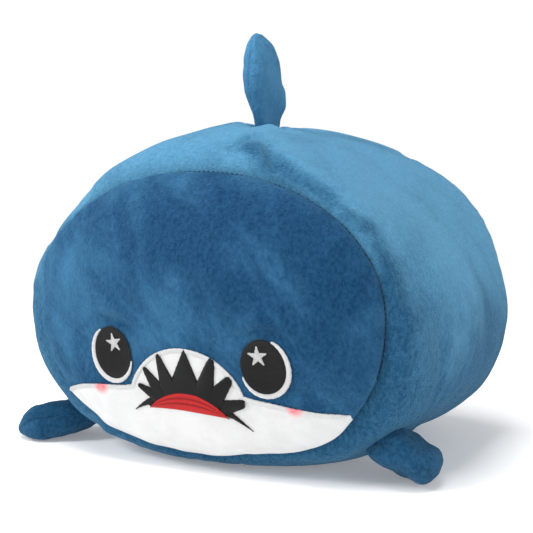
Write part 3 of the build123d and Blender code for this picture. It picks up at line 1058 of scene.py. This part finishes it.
def tongue_points(u, v):
    x = u * TONGUE_TIP[0] * 0.995
    top = np.interp(x, tongue_top_line[:, 0], tongue_top_line[:, 1])
    low = np.interp(x, tongue_low_line[:, 0], tongue_low_line[:, 1])
    z = low + (top - low) * (v + 1) / 2
    padding = np.sqrt(np.maximum(1 - v**2, 0)) * np.minimum(1, (top - low) / (5 * MM))
    holes = fold(v - 0.45, 0.09) + fold(v + 0.15, 0.09)
    ripple = 0.12 * MM * np.cos(x / TONGUE_PITCH * math.tau)
    base = 1.3 * MM + 1.1 * MM * np.clip(v + 0.7, 0, 1)
    lift = base + 0.7 * MM * padding**0.6 + ripple * padding - 0.30 * MM * holes * padding
    # the "nap" number darkens the red thread along the two lines of needle holes
    broken = 0.55 + 0.45 * np.sin(x / MM * 2.9 + v * 5)
    rows = {"row": x / TONGUE_PITCH, "along": (z - low) / MM, "nap": -1.7 * holes * broken * padding}
    return on_face(x + TONGUE_SHIFT, z + TONGUE_TURN * x + 1.0 * MM, lift), rows


tongue = cloth(
    "tongue_stitches", 330, 30, tongue_points, RED_THREAD, facing=(0, -1, 0)
)
thicken(tongue, 0.3 * MM)
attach(tongue, "body")
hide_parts("tongue_embroidery")
print("tongue", len(tongue.data.polygons), "faces")

# %% [markdown]
# ## Eyes
#
# Each eye is a black oval filled with rows of stitches, a white satin crescent round its outer
# side and under it, and a small white star where light would glint.

# %% Eyes
EYE_HALF = np.array([16.4, 18.7]) * MM
EYE_TURNS = {1: math.radians(2.0), -1: math.radians(10.0)}
ROW_PITCH = 0.85 * MM


def tilted(side, across_eye, up_eye):
    """Turn eye coordinates into x and z on the face."""
    angle = EYE_TURNS[side]
    x = across_eye * math.cos(angle) - up_eye * math.sin(angle)
    z = across_eye * math.sin(angle) + up_eye * math.cos(angle)
    return side * EYE[0] + x, EYE[1] + z


def pupil_shape(side):
    def shape(u, v):
        radius, angle = disc(u, v)
        across_eye = EYE_HALF[0] * radius * np.cos(angle)
        up_eye = EYE_HALF[1] * radius * np.sin(angle)
        rim = np.sqrt(np.maximum(1 - radius**6, 0))
        ripple = 0.12 * MM * np.cos(up_eye / ROW_PITCH * math.tau)
        x, z = tilted(side, across_eye, up_eye)
        return on_face(x, z, 1.0 * MM + rim * (0.9 * MM + ripple)), {
            "row": up_eye / ROW_PITCH + 0.25,
            "along": across_eye / MM,
        }

    return shape


CRESCENT_POINTS = 70
STAR_POINTS = 5
STAR_RADIUS = 6.9 * MM
STAR_SHIFT = {1: -3.2 * MM, -1: 1.8 * MM}
STAR_RAISED = 7.5 * MM
for side, side_name in ((1, "left"), (-1, "right")):
    pupil = cloth(
        f"{side_name}_pupil_stitches", 120, 190, pupil_shape(side),
        BLACK_THREAD, facing=(0, -1, 0),
    )
    # crescent: from above the outer side, down and round to the inner side
    sweep = np.linspace(math.radians(64), math.radians(-158), CRESCENT_POINTS)
    if side < 0:
        sweep = math.pi - sweep
    gap = np.linspace(0, 1, CRESCENT_POINTS)
    crescent_width = (0.8 + 3.2 * np.sin(math.pi * gap**0.85) ** 0.6) * MM
    reach_x = (EYE_HALF[0] + crescent_width * 0.42) * np.cos(sweep)
    reach_z = (EYE_HALF[1] + crescent_width * 0.42) * np.sin(sweep)
    crescent_x, crescent_z = tilted(side, reach_x, reach_z)
    white = sew_satin(
        f"{side_name}_eye_crescent", np.stack([crescent_x, crescent_z], 1), crescent_width,
        1.0 * MM, 0.8 * MM, WHITE_THREAD, "white_satin_thread",
    )
    star_parts = []
    star_x, star_z = side * EYE[0] + STAR_SHIFT[side], EYE[1] + STAR_RAISED
    for point in range(STAR_POINTS):
        angle = math.radians(90 + 72 * point) + EYE_TURNS[side]
        share = np.linspace(0, 1, 14)
        path = np.stack(
            [
                star_x + math.cos(angle) * STAR_RADIUS * share,
                star_z + math.sin(angle) * STAR_RADIUS * share,
            ],
            1,
        )
        star_parts.append(
            sew_satin(
                f"{side_name}_star_{point}", path, (5.0 - 4.2 * share) * MM, 2.0 * MM, 0.45 * MM,
                WHITE_THREAD, "white_satin_thread", pitch=0.5 * MM, lean=0.3,
            )
        )
    star = join_pieces(f"{side_name}_star_stitches", star_parts)
    for piece, node in ((pupil, "pupil"), (white, "white"), (star, "star")):
        thicken(piece, 0.3 * MM)
        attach(piece, "body")
        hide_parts(f"{side_name}_eye_{node}")
print("eyes sewn")

# %% [markdown]
# ## Fins
#
# All four fins come from one leaf pattern: two panels sewn round the edge and stuffed hard. One
# flat pillow of that pattern is inflated with the cloth solver, which makes the puckers along the
# seam that only a stuffed seam has. Kept whole they are too coarse for such a small fin, so about
# a quarter of them is laid on a smooth leaf, which is given by widths along its length.

# %% Inflate one leaf
FIN_LENGTH, FIN_CHORD, FIN_THICKNESS = 74 * MM, 48 * MM, 28 * MM
LEAF_STATIONS = (0.0, 0.12, 0.28, 0.45, 0.60, 0.75, 0.88, 0.96, 1.0)
LEAF_CHORDS = (0.46, 0.60, 0.87, 1.00, 0.97, 0.84, 0.62, 0.42, 0.24)
LEAF_THICKNESSES = (0.45, 0.66, 0.90, 1.00, 0.98, 0.86, 0.62, 0.34, 0.10)
LEAF_COLUMNS, LEAF_ROWS = 44, 72
# The stuffed leaf measures only a little over half of FIN_THICKNESS through its middle. The
# thickness scale of each fin, further down, makes up for that.
PUCKERS = 0.24  # how much of the blown leaf's own unevenness is kept
MOST_BLOWN = 20 * MM  # no corner of the leaf is blown further than this


def leaf_curve(shares, values):
    """A smooth curve through the leaf's stations, read at some shares of its length."""
    fine = np.linspace(0, 1, 301)
    line = np.pad(np.interp(fine, LEAF_STATIONS, values), 20, mode="reflect", reflect_type="odd")
    line = np.convolve(line, np.hanning(41) / np.hanning(41).sum(), mode="valid")
    return np.interp(shares, fine, line)


def leaf_pillow():
    """A closed flat leaf of two sheets. x is the chord, y the thickness and z the length."""
    build = bmesh.new()
    panel = build.faces.layers.int.new("panel")
    across_leaf = build.verts.layers.float.new("across_leaf")
    along_leaf = build.verts.layers.float.new("along_leaf")
    for side in (1, -1):
        made = bmesh.ops.create_grid(build, x_segments=LEAF_COLUMNS, y_segments=LEAF_ROWS, size=1)
        for vertex in made["verts"]:
            u, share = vertex.co[0], (vertex.co[1] + 1) / 2
            chord = float(leaf_curve(share, LEAF_CHORDS))
            edge = min(1 - abs(u), share, 1 - share, 0.1)
            vertex[across_leaf], vertex[along_leaf] = u, share
            vertex.co = (u * chord * FIN_CHORD * 0.62, side * edge * 0.02, share * FIN_LENGTH * 1.05)
            for face in vertex.link_faces:
                face[panel] = side
    bmesh.ops.remove_doubles(build, verts=build.verts, dist=1e-6)
    bmesh.ops.recalc_face_normals(build, faces=build.faces)
    mesh = bpy.data.meshes.new("leaf_pillow")
    build.to_mesh(mesh)
    build.free()
    leaf = bpy.data.objects.new("leaf_pillow", mesh)
    bpy.context.collection.objects.link(leaf)
    return leaf


def vertex_numbers(mesh, name):
    """The numbers of one attribute, one for each vertex."""
    numbers = np.zeros(len(mesh.vertices), dtype=np.float32)
    mesh.attributes[name].data.foreach_get("value", numbers)
    return numbers.astype(float)


def inflate(leaf, pressure, frames=22):
    """Blow the leaf up with the cloth solver, and keep the result in its mesh."""
    scene = bpy.context.scene
    flat = coordinates(leaf.data)
    solver = leaf.modifiers.new("cloth", "CLOTH")
    solver.settings.quality = 7
    solver.settings.mass = 0.2
    solver.settings.tension_stiffness = 20
    solver.settings.compression_stiffness = 20
    solver.settings.shear_stiffness = 6
    solver.settings.bending_stiffness = 0.05
    solver.settings.use_pressure = True
    solver.settings.uniform_pressure_force = pressure
    solver.settings.effector_weights.gravity = 0
    solver.settings.air_damping = 4
    solver.collision_settings.use_collision = False
    solver.point_cache.frame_end = frames
    for step in range(1, frames + 1):
        scene.frame_set(step)
    graph = bpy.context.evaluated_depsgraph_get()
    blown = coordinates(leaf.evaluated_get(graph).data)
    scene.frame_set(1)
    leaf.modifiers.remove(solver)
    moved = blown - flat
    reach = np.linalg.norm(moved, axis=1, keepdims=True)
    blown = flat + moved * np.minimum(1, MOST_BLOWN / np.maximum(reach, 1e-9))
    # fit the blown leaf to the pattern's finished size
    low, high = blown.min(0), blown.max(0)
    middle = (low + high) / 2
    blown[:, 0] = (blown[:, 0] - middle[0]) * FIN_CHORD / (high[0] - low[0])
    blown[:, 1] = (blown[:, 1] - middle[1]) * FIN_THICKNESS / (high[1] - low[1])
    blown[:, 2] = (blown[:, 2] - low[2]) * FIN_LENGTH / (high[2] - low[2])
    # keep its puckers on the smooth shape of the pattern
    u, share = vertex_numbers(leaf.data, "across_leaf"), vertex_numbers(leaf.data, "along_leaf")
    round_edge = np.maximum(1 - np.abs(u) ** 2.4, 0) ** 0.55
    half_thick = leaf_curve(share, LEAF_THICKNESSES) * FIN_THICKNESS / 2 * round_edge
    smooth = np.stack(
        [
            u * leaf_curve(share, LEAF_CHORDS) * FIN_CHORD / 2,
            np.sign(flat[:, 1]) * half_thick,
            share * FIN_LENGTH * (1 - 0.035 * u**2 * share**6),
        ],
        1,
    )
    blown = smooth + (blown - smooth) * PUCKERS
    leaf.data.vertices.foreach_set("co", blown.astype(np.float32).ravel())
    return (high - low) / MM


pillow = leaf_pillow()
print("blown leaf", np.round(inflate(pillow, 30.0), 1), "mm before it is fitted")

# %% [markdown]
# ## Cutting and placing the fins
#
# The blown leaf is cut in two along its seam, so that each panel is a cloth of its own. Three
# square directions say how each fin lies: along its chord, through its thickness and along its
# length. The flippers droop with their front edges rolled up, and the tail is a pair of larger
# leaves that share one root.


# %% Fin helpers
def unit(vector):
    vector = np.asarray(vector, float)
    return vector / np.linalg.norm(vector)


def leaf_ways(length_way, chord_way, roll=0.0):
    """Square directions: chord, thickness and length. roll lifts the front edge, in degrees."""
    length_way = unit(length_way)
    chord_way = unit(np.asarray(chord_way) - length_way * np.dot(chord_way, length_way))
    thick_way = np.cross(length_way, chord_way)
    turn = math.radians(roll) * (1 if thick_way[2] > 0 else -1)
    chord_way = chord_way * math.cos(turn) + thick_way * math.sin(turn)
    return chord_way, np.cross(length_way, chord_way), length_way


BLUNT_PLACE, BLUNT_REACH = 0.86, 0.16  # where along a leaf its tip is fuller
FLOOR_GIVE = 3 * MM  # how softly a fin is flattened where it meets the floor


def leaf_place(points, leaf, inset=0.0):
    """Move points of the blown leaf to the place of one fin, inset under its cloth."""
    chord, thickness, length = points.T
    share = np.clip(length / FIN_LENGTH, 0, 1)
    wide, thick, long = leaf["scale"]
    fuller = 1 + leaf["blunt"] * fold(share - BLUNT_PLACE, BLUNT_REACH)
    chord = chord * (1 - 2 * inset / FIN_CHORD) * wide * (1 + leaf["root"] * (1 - share) ** 3) * fuller
    # small lumps of filling, and puckers that die away from the seam
    lumps = soft_noise(points, 16 * MM, 51) * 0.6 * MM + soft_noise(points, 7 * MM, 52) * 0.3 * MM
    thickness = thickness + np.clip(thickness / (4 * MM), -1, 1) * lumps
    thickness = thickness * (1 - 2 * inset / FIN_THICKNESS) * thick * fuller
    run = (length + inset * (1 - 2 * share)) * long - leaf["sink"]
    chord_way, thick_way, length_way = leaf["ways"]
    spot = np.outer(chord + leaf["curl"] * share**2, chord_way)
    spot += np.outer(thickness, thick_way) + np.outer(run, length_way) + leaf["at"]
    if leaf["floor"]:
        height = spot[:, 2] - inset
        spot[:, 2] = inset + (height + np.sqrt(height**2 + FLOOR_GIVE**2)) / 2
    return spot


def fin_mesh(leaves, side=0, inset=0.0):
    """A bmesh of leaves in their places: one panel of each, or all of it where side is 0."""
    build = bmesh.new()
    for leaf in leaves:
        part = bmesh.new()
        part.from_mesh(pillow.data)
        panel = part.faces.layers.int["panel"]
        if side:
            bmesh.ops.delete(
                part, geom=[face for face in part.faces if face[panel] != side], context="FACES"
            )
        part.verts.ensure_lookup_table()
        placed = leaf_place(np.array([vertex.co for vertex in part.verts]), leaf, inset)
        for index, vertex in enumerate(part.verts):
            vertex.co = placed[index]
        mesh = bpy.data.meshes.new("part")
        part.to_mesh(mesh)
        part.free()
        build.from_mesh(mesh)
        bpy.data.meshes.remove(mesh)
    return build


def rim_path(leaf):
    """The seam round one leaf as points in order: up one edge, over the tip and down the other."""
    points = coordinates(pillow.data)
    values = vertex_numbers(pillow.data, "across_leaf")
    edges = []
    for side in (-1, 1):
        edge = points[values * side > 0.999]
        edges.append(edge[np.argsort(edge[:, 2])][3:])
    path = np.concatenate([edges[0], edges[1][::-1]])
    return leaf_place(path, leaf, 0.35 * MM)


STITCH = 2.4 * MM  # the length of one stitch


def stitches(name, paths, gap=1.3 * MM, thick=0.45 * MM):
    """Small stitches laid end to end along paths of x, y and z."""
    build = bmesh.new()
    for path in paths:
        path = np.asarray(path)
        run = np.concatenate([[0], np.cumsum(np.linalg.norm(np.diff(path, axis=0), axis=1))])
        for start in np.arange(gap, run[-1] - STITCH, STITCH + gap):
            ends = [
                np.array([np.interp(at, run, path[:, k]) for k in range(3)])
                for at in (start, start + STITCH)
            ]
            way = Vector(ends[1] - ends[0])
            turn = way.to_track_quat("Z", "Y").to_matrix().to_4x4()
            made = bmesh.ops.create_uvsphere(build, u_segments=6, v_segments=4, radius=1)["verts"]
            bmesh.ops.scale(build, vec=(thick / 2, thick / 2, STITCH / 2), verts=made)
            bmesh.ops.transform(build, matrix=turn, verts=made)
            bmesh.ops.translate(build, vec=Vector((ends[0] + ends[1]) / 2), verts=made)
    piece = object_from(build, name, BLUE_THREAD)
    print(name, len(piece.data.polygons) // 24, "stitches")
    return piece


# %% Where the fins are
def flipper(side_name, swing, droop, roll, rise, size, blunt):
    """A flipper that points the way its joint says, swung, drooping and rolled by some degrees."""
    joint = joints[f"{side_name}_flipper_lift"]
    swing, droop = math.radians(swing), math.radians(droop)
    ahead = np.cross((0, 0, 1), unit(joint["axis"]))
    ahead = ahead * math.cos(swing) + np.cross((0, 0, 1), ahead) * math.sin(swing)
    along = ahead * math.cos(droop) - np.array([0, 0, math.sin(droop)])
    return {
        "at": np.array(joint["pos_m"]) - ahead * 2 * MM + (0, 0, rise),
        "ways": leaf_ways(along, (0, -1, 0), roll),
        "scale": size,
        "root": 0.35,
        "blunt": blunt,
        "sink": 9 * MM,
        "curl": 0.0,
        "floor": True,
    }


def tail_lobe(rise):
    """One lobe of the tail, pointing up or down by some degrees."""
    angle = math.radians(rise)
    high, far = math.sin(angle), math.cos(angle)
    return {
        "at": np.array(joints["tail_fin_swing"]["pos_m"]) + (0, 1.5 * MM, 0),
        "ways": leaf_ways((0, far, high), (0, -high, far)),
        "scale": (1.12, 1.05, 1.12),
        "root": 0.1,
        "blunt": 0.08,
        "sink": 2 * MM,
        "curl": 0.0,
        "floor": False,
    }


dorsal_leaf = {
    "at": np.array(joints["dorsal_fin_flop"]["pos_m"]) - (1.5 * MM, 0, 0.5 * MM),
    "ways": leaf_ways((-0.03, 0, 1), (0, -1, 0)),
    "scale": (1.0, 1.16, 1.04),
    "root": 0.12,
    "blunt": 0.0,
    "sink": 5 * MM,
    "curl": 12 * MM,
    "floor": False,
}
left_leaf = flipper(
    "left", swing=-1, droop=-1, roll=34, rise=-3.0 * MM, size=(1.14, 2.05, 0.85), blunt=0.0
)
right_leaf = flipper(
    "right", swing=-5, droop=13, roll=8, rise=-3.0 * MM, size=(0.96, 1.85, 1.03), blunt=0.3
)
fins = {
    "dorsal_fin": [dorsal_leaf],
    "left_flipper": [left_leaf],
    "right_flipper": [right_leaf],
    "tail_fin": [tail_lobe(42), tail_lobe(-42)],
}
PANEL_NAMES = {"left_flipper": ("top", "bottom"), "right_flipper": ("top", "bottom")}
print("fins at", {name: np.round(leaves[0]["at"], 3).tolist() for name, leaves in fins.items()})

# %% Sew the fins
BEND = 15 * MM  # a length along each fin from its root; the bend line it ends is not used
UNDER_CLOTH = 4.2 * MM  # how far under its cloth a fin's filling stays
ROOT_RING = 11.5 * MM, 5.0 * MM  # half the width and half the thickness of the sewn root

for fin_name, leaves in fins.items():
    first = leaves[0]
    length_way = unit(sum(leaf["ways"][2] for leaf in leaves))
    bend_start = tuple(first["at"] - length_way * 1 * MM)
    bend_end = tuple(first["at"] + length_way * BEND)
    thick_way = first["ways"][1]
    names = PANEL_NAMES.get(fin_name, ("left", "right"))
    direction = thick_way[2] if names[0] == "top" else thick_way[0]
    for side, panel_name in zip((1, -1) if direction > 0 else (-1, 1), names):
        panel_name = f"{fin_name}_{panel_name}"
        panel = object_from(fin_mesh(leaves, side), f"{panel_name}_cloth", FIN_FLEECE)
        turn_towards(panel, thick_way * side)
        thicken(panel, CLOTH)
        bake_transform(panel)
        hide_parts(f"{panel_name}_panel")
    inner = fin_mesh(leaves, 0, UNDER_CLOTH)
    stuffing = object_from(inner, f"{fin_name}_filling", filling_finish)
    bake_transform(stuffing)
    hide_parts(f"{fin_name}_stuffing")
    seam = stitches(f"{fin_name}_seam_stitches", [rim_path(leaf) for leaf in leaves])
    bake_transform(seam)
    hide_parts(f"{fin_name}_seam_thread")
    around = np.linspace(0, math.tau, 40)
    chord_way = first["ways"][0] if len(leaves) == 1 else np.array([0, 0, 1])
    root_ring = np.outer(np.cos(around) * ROOT_RING[0], chord_way)
    root_ring += np.outer(np.sin(around) * ROOT_RING[1], thick_way)
    root = stitches(f"{fin_name}_root_stitches", [root_ring + first["at"]], gap=0.8 * MM)
    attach(root, "body")
    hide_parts(f"{fin_name}_root_thread")
bpy.data.objects.remove(pillow)
print("fins sewn")

# %% [markdown]
# ## Filling
#
# Inside is one lump of fibre. It does not show, but it closes the model and gives its true
# volume. It follows the cloth a few millimetres inside, with the lumps of real fibre.

# %% Body filling
FILLING_SHARE = 0.955  # the width of the filling as a share of the roll's
FILLING_SIDE = 0.72  # the share of the pattern that goes round the side, the rest is the ends
FILLING_FLOOR = 3 * MM


def filling_points(u, v):
    angle = -math.pi / 2 + (u + 1) * math.pi
    share = np.sin(np.clip(v / FILLING_SIDE, -1, 1) * math.pi / 2)
    bulge = (1 - np.abs(share) ** BARREL_POWER) ** (1 / BARREL_POWER)
    cut = np.where((share < 0)[:, None], FACE_RING, REAR_RING)
    cut = cut + (MIDDLE_RING - cut) * bulge[:, None]
    x, z = ring_point(angle, cut)
    radius = np.clip((1 - np.abs(v)) / (1 - FILLING_SIDE), 0, 1)
    shrink = FILLING_SHARE * radius
    dome = np.sqrt(np.maximum(1 - radius**DOME_POWER, 0))
    depth = np.where(v < 0, -(FACE_DEPTH - 6 * MM), REAR_DEPTH - 6 * MM) * dome
    y = share * (REAR_SEAM_Y - 4 * MM) + depth
    points = np.stack([x * shrink, y, cut[:, 1] + (z - cut[:, 1]) * shrink], 1)
    lumps = soft_noise(points, 0.030, 41) * 0.006 + soft_noise(points, 0.012, 42) * 0.002
    middle = np.array([0, 0, 0.11])
    points = middle + (points - middle) * (1 - 0.012 + lumps)[:, None]
    height = points[:, 2] - FILLING_FLOOR
    points[:, 2] = FILLING_FLOOR + (height + np.sqrt(height**2 + (4 * MM) ** 2)) / 2
    return points, {}


body_filling = cloth(
    "body_filling", 120, 110, filling_points, filling_finish, join=1e-5
)
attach(body_filling, "body")
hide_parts("body_stuffing")
print("filling", len(body_filling.data.polygons), "faces")

# %% [markdown]
# ## Seams and label
#
# The seams are lines of short blue stitches at the bottom of their creases. A small care label of
# satin, with nothing printed on it, is caught in the rear seam and curls away from it.

# %% Seam stitches and label
seam_angle = np.linspace(0, math.tau, 400)
end_seams = ("face_seam", FACE_RING, FACE_SEAM_Y), ("rear_seam", REAR_RING, REAR_SEAM_Y)
for name, cut, seam_y in end_seams:
    x, z = ring_point(seam_angle, cut)
    way = np.stack([x, z - cut[1]], 1)
    way /= np.linalg.norm(way, axis=1, keepdims=True)
    x, z = x - way[:, 0] * 0.5 * MM, z - way[:, 1] * 0.5 * MM
    line = np.stack([x, np.full_like(x, seam_y), z], 1)
    seam = stitches(f"{name}_stitches", [settle(line)], thick=0.7 * MM)
    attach(seam, "body")
    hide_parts(f"{name}_thread")
seam_x = (belly_seam_low[0] + belly_seam_high[0]) / 2
belly_line = np.stack(
    [np.full(2, seam_x), [belly_seam_low[1], belly_seam_high[1]], np.full(2, 2.2 * MM)], 1
)
belly_seam = stitches("belly_seam_stitches", [belly_line])
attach(belly_seam, "body")
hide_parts("belly_seam_thread")

LABEL_WIDTH, LABEL_LENGTH = 22 * MM, 30 * MM
label_angle = math.radians(212)
label_x, label_z = (float(value) for value in ring_point(label_angle, REAR_RING))
label_out = unit((label_x, 0, label_z - REAR_RING[1]))
label_side = np.cross(label_out, (0, 1, 0))
LABEL_STEPS = 200
LABEL_CURL = np.linspace(math.radians(25), math.radians(73), LABEL_STEPS)


def label_points(u, v):
    run = (v + 1) / 2 * LABEL_LENGTH
    out = np.cumsum(np.cos(LABEL_CURL)) * LABEL_LENGTH / LABEL_STEPS
    behind = np.cumsum(np.sin(LABEL_CURL)) * LABEL_LENGTH / LABEL_STEPS
    marks = np.linspace(0, LABEL_LENGTH, LABEL_STEPS)
    cockle = 0.5 * MM * np.sin(u * 2.2) * (run / LABEL_LENGTH)
    points = np.outer(np.interp(run, marks, out) - 3 * MM, label_out)
    points += np.outer(np.interp(run, marks, behind) + cockle, (0, 1, 0))
    points += np.outer(u * LABEL_WIDTH / 2, label_side) + (label_x, REAR_SEAM_Y, label_z)
    return points, {}


label = cloth("care_label_satin", 22, 30, label_points, label_finish)
thicken(label, 0.35 * MM, 0.0)
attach(label, "body")
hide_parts("care_label")
print("seams and label sewn")

# %% [markdown]
# ## Floor and white room
#
# The floor is pale paper that fades away a little way out, so no edge shows. The room is white
# level with the shark and dimmer overhead, which keeps the light soft but lets the top light
# shape the roll.

# %% Floor and room
floor_build = bmesh.new()
bmesh.ops.create_grid(floor_build, x_segments=4, y_segments=4, size=1.4)
floor_mesh = bpy.data.meshes.new("floor")
floor_build.to_mesh(floor_mesh)
floor_build.free()
floor = bpy.data.objects.new("floor", floor_mesh)
bpy.context.collection.objects.link(floor)
floor_finish = Finish("floor_paper", 0.8)
grain = floor_finish.noise(floor_finish.place(), 0.004, 2.0)
paper = floor_finish.mix(grain.between(0.3, 0.7), (0.93, 0.93, 0.93), (0.95, 0.95, 0.95))
floor_finish.colour(paper)
floor_x, floor_y = floor_finish.axis(0), floor_finish.axis(1)
floor_finish.shader.inputs["Emission Color"].default_value = (1, 1, 1, 1)
floor_finish.shader.inputs["Emission Strength"].default_value = 0.21
distance = (floor_x * floor_x + floor_y * floor_y).power(0.5)
fade = 1 - distance.between(0.45, 1.15)
floor_finish.tree.links.new(fade.socket, floor_finish.shader.inputs["Alpha"])
floor_mesh.materials.append(floor_finish.material)

world = bpy.data.worlds.new("white_room")
world.use_nodes = True
room = world.node_tree
direction = room.nodes.new("ShaderNodeTexCoord")
parts = room.nodes.new("ShaderNodeSeparateXYZ")
overhead = room.nodes.new("ShaderNodeMapRange")
overhead.interpolation_type = "SMOOTHSTEP"
for socket, value in (("From Min", 0.20), ("From Max", 0.55), ("To Min", 1.0), ("To Max", 0.30)):
    overhead.inputs[socket].default_value = value
room.links.new(direction.outputs["Generated"], parts.inputs[0])
room.links.new(parts.outputs["Z"], overhead.inputs["Value"])
room.links.new(overhead.outputs["Result"], room.nodes["Background"].inputs["Strength"])
room.nodes["Background"].inputs["Color"].default_value = (1, 1, 1, 1)
bpy.context.scene.world = world
print("floor and room ready")
